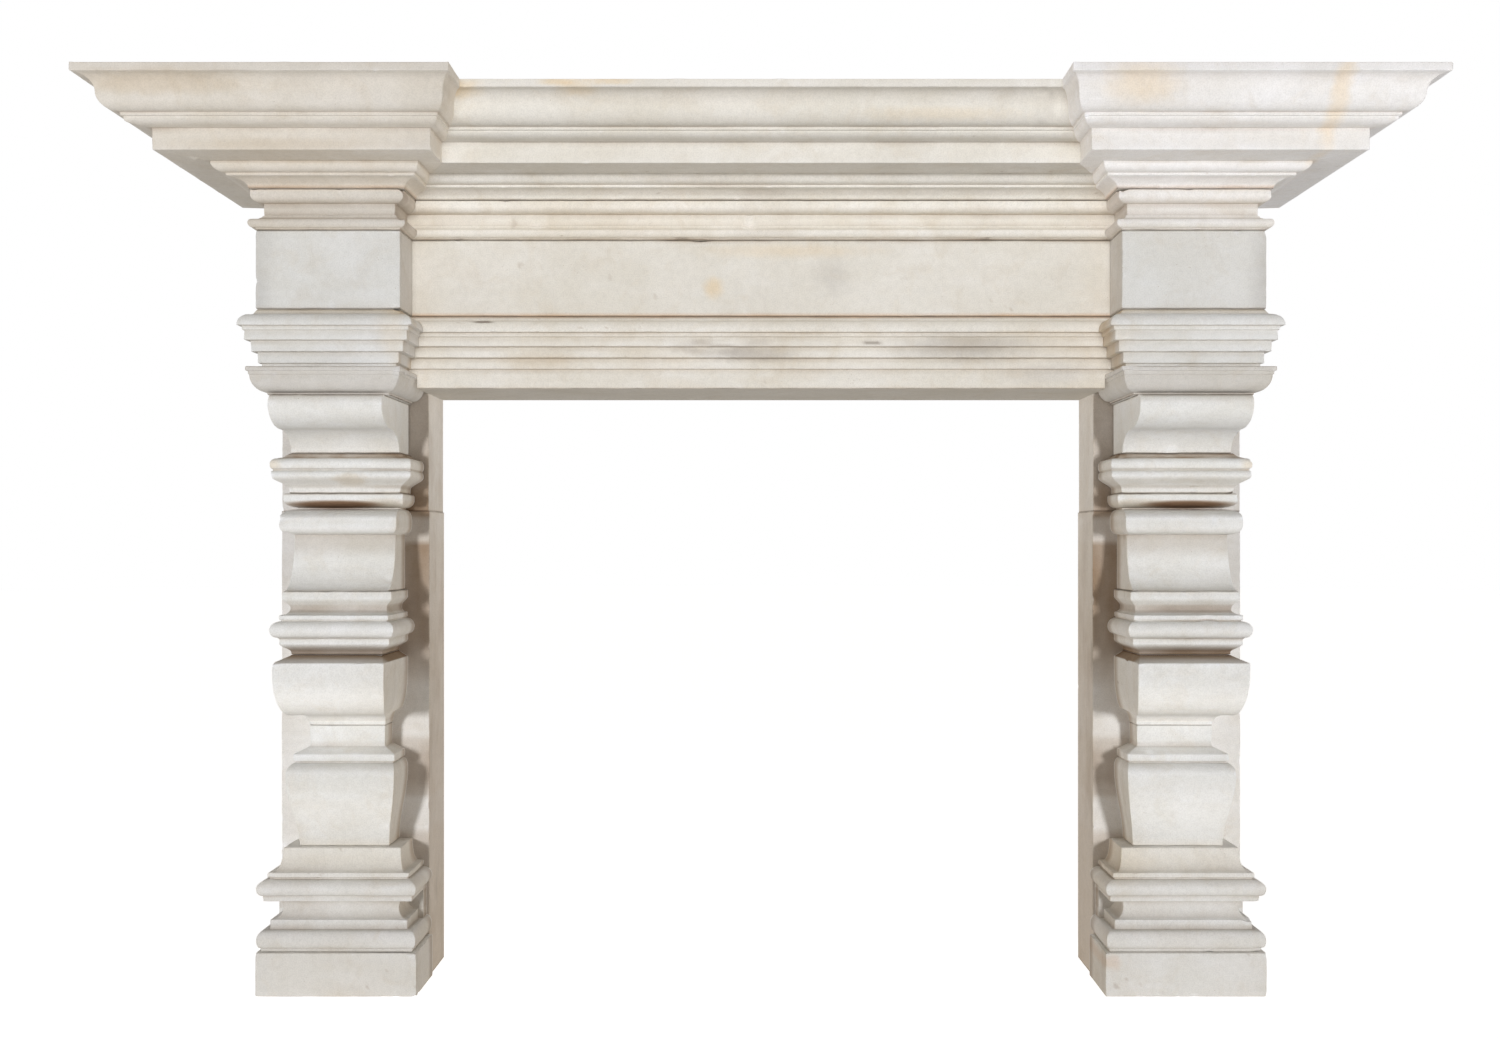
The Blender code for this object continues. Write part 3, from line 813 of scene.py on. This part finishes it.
        # painted shade on the left bed mould under the corona
        tint = blend_in(tint, GREY, 0.22 * left * smooth(FRIEZE_TOP, FRIEZE_TOP + 0.01, z) * (1 - smooth(BED_TOP - 0.01, BED_TOP, z)))
        # dark corners of the frieze blocks
        frieze = (z > FRIEZE_BOTTOM) & (z < FRIEZE_TOP)
        edge_x = smooth(0.905, 0.95, x) * frieze
        tint = blend_in(tint, GREY, 0.45 * edge_x * front * (0.7 + 0.7 * mid))
        tint = blend_in(tint, BROWN, 0.25 * frieze * front * smooth(0.69, 0.684, x) * smooth(0.0, 0.6, fall))
        # painted shade on the architrave's returns over the hearth
        tint = blend_in(tint, BROWN, 0.38 * inward * (z < FRIEZE_BOTTOM) * (0.8 + 0.4 * mid))
        # the architrave fronts are painted a little brighter
        tint = tint * (1 + 0.06 * (z < FRIEZE_BOTTOM - 0.012) * front)[:, None]
        # ochre at the inner end of the architrave
        tint = blend_in(tint, OCHRE, 0.45 * (z < FRIEZE_BOTTOM) * (1 - smooth(0.67, 0.73, x)) * smooth(0.0, 0.6, mid + 0.3))
        tint = blend_in(tint, OCHRE, 0.40 * (z < FRIEZE_BOTTOM) * smooth(FRIEZE_BOTTOM - 0.014, FRIEZE_BOTTOM, z))
    if group == "lintel":
        px = p[:, 0]
        # soot on the fascias
        tint = blend_in(tint, SOOT, 0.50 * blotch(p, (-0.075, 1.257), (0.085, 0.016), 321, 0.7) * smooth(-0.5, 0.4, streak))
        tint = blend_in(tint, SOOT, 0.32 * blotch(p, (-0.020, 1.236), (0.080, 0.010), 322, 0.7))
        tint = blend_in(tint, SOOT, 0.34 * blotch(p, (0.400, 1.250), (0.110, 0.022), 323, 0.9))
        tint = blend_in(tint, BEIGE, 0.50 * blotch(p, (-0.430, 1.225), (0.060, 0.016), 324, 0.7))
        tint = blend_in(tint, GREY, 0.35 * blotch(p, (0.560, 1.200), (0.080, 0.020), 325, 0.8))
        tint = blend_in(tint, BEIGE, 0.30 * (z < FRIEZE_BOTTOM - 0.030) * smooth(-0.2, 0.6, big + 0.5 * streak))
        # a yellow patch and specks on the frieze
        tint = blend_in(tint, OCHRE, 0.50 * blotch(p, (-0.093, 1.367), (0.016, 0.018), 326, 0.7))
        tint = blend_in(tint, OCHRE, 0.30 * blotch(p, (0.050, 1.440), (0.120, 0.012), 327, 0.9))
        tint = blend_in(tint, GREY, 0.30 * blotch(p, (0.140, 1.390), (0.030, 0.030), 328, 0.9))
        # brown line under the bed mould and at the top of the architrave
        tint = blend_in(tint, BROWN, 0.60 * (1 - smooth(0.001, 0.004, np.abs(z - FRIEZE_TOP))) * smooth(-0.4, 0.5, streak))
        tint = blend_in(tint, RED_BROWN, 0.60 * (1 - smooth(0.001, 0.006, np.abs(z - FRIEZE_BOTTOM))) * (0.7 + 0.5 * streak))
        # ochre spots along the top and a long dark streak at the right
        for k, (cx, cz, rx, rz, much) in enumerate((
            (-0.555, 1.690, 0.040, 0.012, 0.8), (-0.365, 1.698, 0.030, 0.006, 0.8), (-0.270, 1.699, 0.040, 0.005, 0.7),
            (-0.330, 1.690, 0.030, 0.010, 0.5), (0.330, 1.650, 0.120, 0.010, 0.35),
        )):
            tint = blend_in(tint, OCHRE, 0.65 * much * blotch(p, (cx, cz), (rx, rz), 331 + k, 0.7))
        tint = blend_in(tint, SOOT, 0.30 * blotch(p, (0.52, 1.668), (0.075, 0.030), 341, 0.9) * smooth(-0.2, 0.7, fall))
        tint = blend_in(tint, RED_BROWN, 0.30 * smooth(0.555, 0.60, px) * (z > 1.62) * smooth(-0.3, 0.6, fall))
        # dull bed mould with brown smears
        bed_zone = (z > FRIEZE_TOP) * (z < BED_TOP + 0.036)
        tint = blend_in(tint, BEIGE, 0.10 * bed_zone * smooth(-0.4, 0.5, big + streak))
        tint = blend_in(tint, BROWN, 0.20 * bed_zone * smooth(0.1, 0.8, layered(p * np.array([0.3, 1, 1]), 0.05, 343)))
        # two dark slits in the architrave, pits in the frieze and bed mould
        for k, (cx, cz, rx, rz, much) in enumerate((
            (-0.538, 1.2990, 0.019, 0.0030, 0.75), (0.216, 1.2586, 0.016, 0.0030, 0.60), (-0.469, 1.412, 0.006, 0.005, 0.26),
            (-0.294, 1.387, 0.005, 0.005, 0.24), (-0.206, 1.350, 0.005, 0.005, 0.24), (-0.483, 1.494, 0.006, 0.009, 0.30),
        )):
            tint = blend_in(tint, DARK if rz < 0.005 else BROWN, much * blotch(p, (cx, cz), (rx, rz), 351 + k, 0.4))
        tint = blend_in(tint, BEIGE, 0.36 * smooth(1.574, 1.578, z) * (1 - smooth(1.612, 1.618, z)) * np.clip(-n[:, 1], 0, 1))
        # the lintel is darker and duller towards its ends beside the blocks
        tint = blend_in(tint, BEIGE, 0.20 * smooth(0.60, 0.67, x))
        # painted light: the bed mould and the lower architrave are painted brighter
        tint = tint * (1 + 0.08 * (bed_zone * 1.0) + 0.05 * (z < FRIEZE_BOTTOM - 0.012))[:, None]
    return tint


# ------------------------------------------------------------------ materials
def stone(name, colour, roughness=0.86, mottle=1.0):
    material = bpy.data.materials.new(name)
    material.use_nodes = True
    tree = material.node_tree
    nodes, links = tree.nodes, tree.links
    shader = nodes["Principled BSDF"]
    shader.inputs["Roughness"].default_value = roughness
    shader.inputs["Specular IOR Level"].default_value = 0.25

    def new(kind, **inputs):
        node = nodes.new(kind)
        for key, value in inputs.items():
            node.inputs[key.replace("_", " ")].default_value = value
        return node

    where = nodes.new("ShaderNodeTexCoord")

    def tex(scale, detail=4.0, rough=0.55, distortion=0.0):
        node = new("ShaderNodeTexNoise", Scale=scale, Detail=detail, Roughness=rough, Distortion=distortion)
        links.new(where.outputs["Object"], node.inputs["Vector"])
        return node

    def ramp(source, *stops):
        node = nodes.new("ShaderNodeValToRGB")
        elements = node.color_ramp.elements
        while len(elements) < len(stops):
            elements.new(0.5)
        for element, (at, value) in zip(elements, stops):
            element.position = at
            element.color = (*value, 1) if hasattr(value, "__len__") else (value, value, value, 1)
        links.new(source, node.inputs["Fac"])
        return node

    def mix(kind, factor, a, b):
        node = nodes.new("ShaderNodeMix")
        node.data_type = "RGBA"
        node.blend_type = kind
        for socket, value in ((0, factor), (6, a), (7, b)):
            if hasattr(value, "is_output"):
                links.new(value, node.inputs[socket])
            elif hasattr(value, "__len__"):
                node.inputs[socket].default_value = (*value, 1)
            else:
                node.inputs[socket].default_value = value
        return node.outputs[2]

    base = tuple(float(c) for c in colour)
    dull = tuple(float(c) for c in colour * BEIGE)
    pale = tuple(float(c) for c in np.minimum(colour * (1 + WHITE) / 2, 0.9))
    clouds = ramp(tex(7.0, 5.0, 0.6, 0.4).outputs["Fac"], (0.36, 0.0), (0.68, 1.0))
    flecks = ramp(tex(95.0, 3.0, 0.6).outputs["Fac"], (0.40, 0.0), (0.66, 1.0))
    c = mix("MIX", clouds.outputs["Color"], pale, base)
    patches = ramp(tex(17.0, 4.0, 0.62, 0.7).outputs["Fac"], (0.52, 0.0), (0.76, 0.30 * mottle))
    c = mix("MIX", patches.outputs["Color"], c, dull)
    # fine shell grit
    grit = ramp(tex(420.0, 2.0, 0.5).outputs["Fac"], (0.30, 0.90), (0.62, 1.03))
    c = mix("MULTIPLY", 0.8, c, grit.outputs["Color"])
    soft = ramp(flecks.outputs["Color"], (0.0, 1.0), (1.0, 0.955))
    c = mix("MULTIPLY", 1.0, c, soft.outputs["Color"])
    # small dark pores
    pores = nodes.new("ShaderNodeTexVoronoi")
    pores.inputs["Scale"].default_value = 130.0
    links.new(where.outputs["Object"], pores.inputs["Vector"])
    holes = ramp(pores.outputs["Distance"], (0.0, 1.0), (0.13, 0.0))
    rare = ramp(tex(26.0, 2.0, 0.5).outputs["Fac"], (0.56, 0.0), (0.70, 1.0))
    spots = mix("MULTIPLY", 1.0, holes.outputs["Color"], rare.outputs["Color"])
    c = mix("MIX", spots, c, tuple(float(v) for v in colour * BROWN))
    tint = nodes.new("ShaderNodeVertexColor")
    tint.layer_name = "Tint"
    c = mix("MULTIPLY", 1.0, c, tint.outputs["Color"])
    links.new(c, shader.inputs["Base Color"])
    # surface: tooling ripples, grit, pores
    fine = tex(260.0, 5.0, 0.62)
    coarse = tex(34.0, 4.0, 0.55)
    bump1 = new("ShaderNodeBump", Strength=0.16, Distance=0.0012)
    links.new(fine.outputs["Fac"], bump1.inputs["Height"])
    bump2 = new("ShaderNodeBump", Strength=0.14, Distance=0.004)
    links.new(coarse.outputs["Fac"], bump2.inputs["Height"])
    links.new(bump1.outputs["Normal"], bump2.inputs["Normal"])
    bump3 = new("ShaderNodeBump", Strength=0.5, Distance=0.0012)
    bump3.invert = True
    links.new(spots, bump3.inputs["Height"])
    links.new(bump2.outputs["Normal"], bump3.inputs["Normal"])
    links.new(bump3.outputs["Normal"], shader.inputs["Normal"])
    uneven = ramp(tex(55.0, 3.0, 0.6).outputs["Fac"], (0.3, roughness - 0.08), (0.7, roughness + 0.06))
    links.new(uneven.outputs["Color"], shader.inputs["Roughness"])
    return material


jamb_stone = stone("jamb_limestone", srgb(235, 235, 232))
slab_stone = stone("slab_limestone", srgb(233, 230, 225), 0.9)
left_stone = stone("left_entablature_limestone", srgb(223, 218, 209))
right_stone = stone("right_entablature_limestone", srgb(233, 230, 225))
frieze_stone = stone("frieze_block_limestone", srgb(224, 224, 221))
lintel_stone = stone("lintel_limestone", srgb(229, 225, 216))


# ------------------------------------------------------------------ all stones
def raise_bed(levels):
    return levels[:-1] + [(levels[-1][0] + GAP, *levels[-1][1:])]


stack = {
    "base": BASE,
    "lower_vase": LOWER_VASE,
    "upper_vase": UPPER_VASE,
    "roll_stone": ROLL_STONE,
    "bell_stone": BELL_STONE,
    "neck_stone": NECK_STONE,
    "console_stone": CONSOLE_STONE,
    "capital": CAPITAL_STONE,
}
names = list(stack)
for below, above in zip(names, names[1:]):
    stack[above] = fit(stack[above], stack[below][0][0])
stack["base"] = fit(stack["base"], PLINTH_H)

dark_joints = {
    "base": (0.12, 0.16), "lower_vase": (0.25, 0.12), "upper_vase": (0.5, 0.25), "roll_stone": (0.55, 0.6),
    "bell_stone": (0.85, 0.55), "neck_stone": (0.9, 0.95), "console_stone": (0.9, 0.9), "capital": (0.2, 0.9),
}
seed = 10
for hand, side in (("left", -1), ("right", 1)):
    plinth = [(PLINTH_H - GAP, PLINTH_HALF, PLINTH_FRONT), (0.0, PLINTH_HALF, PLINTH_FRONT)]
    build(
        f"{hand}_plinth_stone", plinth,
        lambda rows, side=side, seed=seed: jamb_outline(rows, side, seed),
        f"{hand}_plinth", jamb_stone, "jamb", seed, rim=0.0015, chips=9, joints=(0.14, 0.1),
    )
    for name, levels in stack.items():
        seed += 7
        build(
            f"{hand}_{name}_stone", raise_bed(levels),
            lambda rows, side=side, seed=seed, name=name: jamb_outline(rows, side, seed, name == "base"),
            f"{hand}_{name}", jamb_stone, "jamb", seed, chips=10, joints=dark_joints[name],
        )
    seed += 7
    build(
        f"{hand}_lower_slab_stone",
        [(SLAB_JOINT - GAP, 0, 0), (0.0, 0, 0)],
        lambda rows, side=side: slab_outline(rows, side, SLAB_IN, 0),
        f"{hand}_slab_lower", slab_stone, "slab", seed, rim=0.002, chips=14,
    )
    seed += 7
    build(
        f"{hand}_upper_slab_stone",
        [(CAPITAL_TOP, 0, 0), (OPENING_H + 0.0004, 0, 0), (OPENING_H, 0, 0), (SLAB_JOINT, 0, 0)],
        lambda rows, side=side: slab_outline(rows, side, SLAB_IN + 0.002, -UPPER_SET_BACK),
        f"{hand}_slab_upper", slab_stone, "slab", seed, rim=0.002, chips=6,
    )
    upper = left_stone if side < 0 else right_stone
    for name, levels, paint in (
        ("architrave", ARCHITRAVE, frieze_stone),
        ("frieze", FRIEZE, frieze_stone),
        ("bed_mould", BED, upper),
        ("cornice", CORNICE, upper),
    ):
        seed += 7
        build(
            f"{hand}_{name}_block", levels,
            lambda rows, side=side, seed=seed: block_outline(rows, side, seed),
            f"{hand}_{name}", paint, "block", seed, chips=14,
            joints=(0.0 if name == "cornice" else 0.6, 0.6),
        )

for name, levels in (
    ("architrave", ARCHITRAVE_LINTEL),
    ("frieze", FRIEZE),
    ("bed_mould", BED),
    ("cornice", CORNICE),
):
    seed += 7
    build(
        f"lintel_{name}_course", levels,
        lambda rows, seed=seed: lintel_outline(rows, seed),
        f"lintel_{name}", lintel_stone, "lintel", seed, chips=16,
        joints=(0.0 if name == "cornice" else 0.6, 0.6),
    )


# ----------------------------------------------------------- floor and lights
def plain(name, colour, glow=0.0):
    material = bpy.data.materials.new(name)
    material.use_nodes = True
    shader = material.node_tree.nodes["Principled BSDF"]
    shader.inputs["Base Color"].default_value = (*colour, 1)
    shader.inputs["Roughness"].default_value = 0.9
    shader.inputs["Specular IOR Level"].default_value = 0.1
    shader.inputs["Emission Color"].default_value = (1, 1, 1, 1)
    shader.inputs["Emission Strength"].default_value = glow
    return material




def area(name, place, aim, size, power, colour, spread):
    data = bpy.data.lights.new(name, "AREA")
    data.shape = "RECTANGLE"
    data.size, data.size_y = size
    data.energy = power
    data.color = colour
    data.spread = math.radians(spread)
    lamp = bpy.data.objects.new(name, data)
    bpy.context.scene.collection.objects.link(lamp)
    lamp.location = place
    direction = np.array(aim) - np.array(place)
    from mathutils import Vector

    lamp.rotation_mode = "QUATERNION"
    lamp.rotation_quaternion = Vector(direction).to_track_quat("-Z", "Y")
    return lamp


KEY, TOP_KEY, CROSS, FILL, GLOW = 144.0, 153.0, 46.0, 0.13, 0.31
WHITE_LIGHT = (1.0, 1.0, 1.0)
CROSS_COLOUR = (1.0, 0.94, 0.86)
FILL_COLOUR = (1.0, 0.88, 0.74)


def light_only(lamp, things, alone=False):
    """The two halves and the lintel were lit one at a time in the photograph."""
    lit = bpy.data.collections.new(lamp.name + "_lit")
    for thing in things:
        lit.objects.link(thing)
    lamp.light_linking.receiver_collection = lit
    if alone:
        lamp.light_linking.blocker_collection = lit


for hand, sx in (("left", -1), ("right", 1)):
    light_only(
        area("key_" + hand, (sx * 2.36, -4.7, 0.98), (sx * 0.85, 0.0, 0.90), (0.5, 0.6), KEY, WHITE_LIGHT, 180),
        stones[hand],
    )
    light_only(
        area("side_" + hand, (-sx * 3.4, -0.75, 0.62), (sx * 0.8, 0.0, 0.9), (0.8, 1.8), CROSS, CROSS_COLOUR, 180),
        stones[hand], alone=True,
    )
light_only(
    area("key_lintel", (0.0, -4.8, 1.9), (0.0, 0.0, 1.4), (2.4, 1.0), TOP_KEY, WHITE_LIGHT, 180),
    stones["lintel"],
)
everything = stones["left"] + stones["right"] + stones["lintel"]
light_only(area("over", (0.0, 0.75, 4.2), (0.0, 0.15, 1.7), (3.0, 0.6), 52.0, WHITE_LIGHT, 180), everything)
light_only(area("behind", (0.0, 5.2, 1.6), (0.0, 0.3, 0.9), (0.5, 1.2), 62.0, WHITE_LIGHT, 180), everything)
for hand, sx in (("left", -1), ("right", 1)):
    light_only(area("flank_" + hand, (sx * 5.6, 0.9, 1.5), (sx, 0.0, 0.9), (1.2, 1.5), 42.0, WHITE_LIGHT, 180), stones[hand])


def brighter_floor(material, more):
    """The photograph's ground is burnt out to white: extra light that only the camera sees."""
    nodes, links = material.node_tree.nodes, material.node_tree.links
    path = nodes.new("ShaderNodeLightPath")
    glow = nodes.new("ShaderNodeEmission")
    glow.inputs["Color"].default_value = (1, 1, 1, 1)
    scale = nodes.new("ShaderNodeMath")
    scale.operation = "MULTIPLY"
    scale.inputs[1].default_value = more
    links.new(path.outputs["Is Camera Ray"], scale.inputs[0])
    links.new(scale.outputs[0], glow.inputs["Strength"])
    both = nodes.new("ShaderNodeAddShader")
    links.new(nodes["Principled BSDF"].outputs[0], both.inputs[0])
    links.new(glow.outputs[0], both.inputs[1])
    links.new(both.outputs[0], nodes["Material Output"].inputs["Surface"])


bpy.ops.mesh.primitive_circle_add(vertices=96, radius=30, fill_type="NGON", location=(0, 0, 0))
floor = bpy.context.object
floor.name = "floor"
floor.data.materials.append(plain("pale_floor", (0.92, 0.92, 0.92), GLOW))
brighter_floor(floor.data.materials[0], 0.60)

world = bpy.data.worlds.new("studio")
bpy.context.scene.world = world
world.use_nodes = True
tree = world.node_tree
tree.nodes.clear()
out = tree.nodes.new("ShaderNodeOutputWorld")
fill = tree.nodes.new("ShaderNodeBackground")
fill.inputs["Color"].default_value = (*FILL_COLOUR, 1)
fill.inputs["Strength"].default_value = FILL
seen = tree.nodes.new("ShaderNodeBackground")
seen.inputs["Color"].default_value = (1, 1, 1, 1)
seen.inputs["Strength"].default_value = 1.0
path = tree.nodes.new("ShaderNodeLightPath")
both = tree.nodes.new("ShaderNodeMixShader")
tree.links.new(path.outputs["Is Camera Ray"], both.inputs["Fac"])
tree.links.new(fill.outputs["Background"], both.inputs[1])
tree.links.new(seen.outputs["Background"], both.inputs[2])
tree.links.new(both.outputs["Shader"], out.inputs["Surface"])

# --------------------------------------------------------------------- camera
lens = bpy.data.cameras.new("camera")
lens.sensor_width = 36
lens.lens = 1590 / 1500 * 36
lens.shift_x = -11 / 1500
lens.shift_y = 26 / 1500
lens.clip_end = 100
camera = bpy.data.objects.new("camera", lens)
bpy.context.scene.collection.objects.link(camera)
camera.location = (0, SLAB_FACE - 3.20, 0.867)
camera.rotation_euler = (math.radians(90), 0, 0)
bpy.context.scene.camera = camera

scene = bpy.context.scene
scene.view_settings.view_transform = "Standard"
scene.view_settings.look = "None"
scene.view_settings.exposure = 0
scene.view_settings.gamma = 1
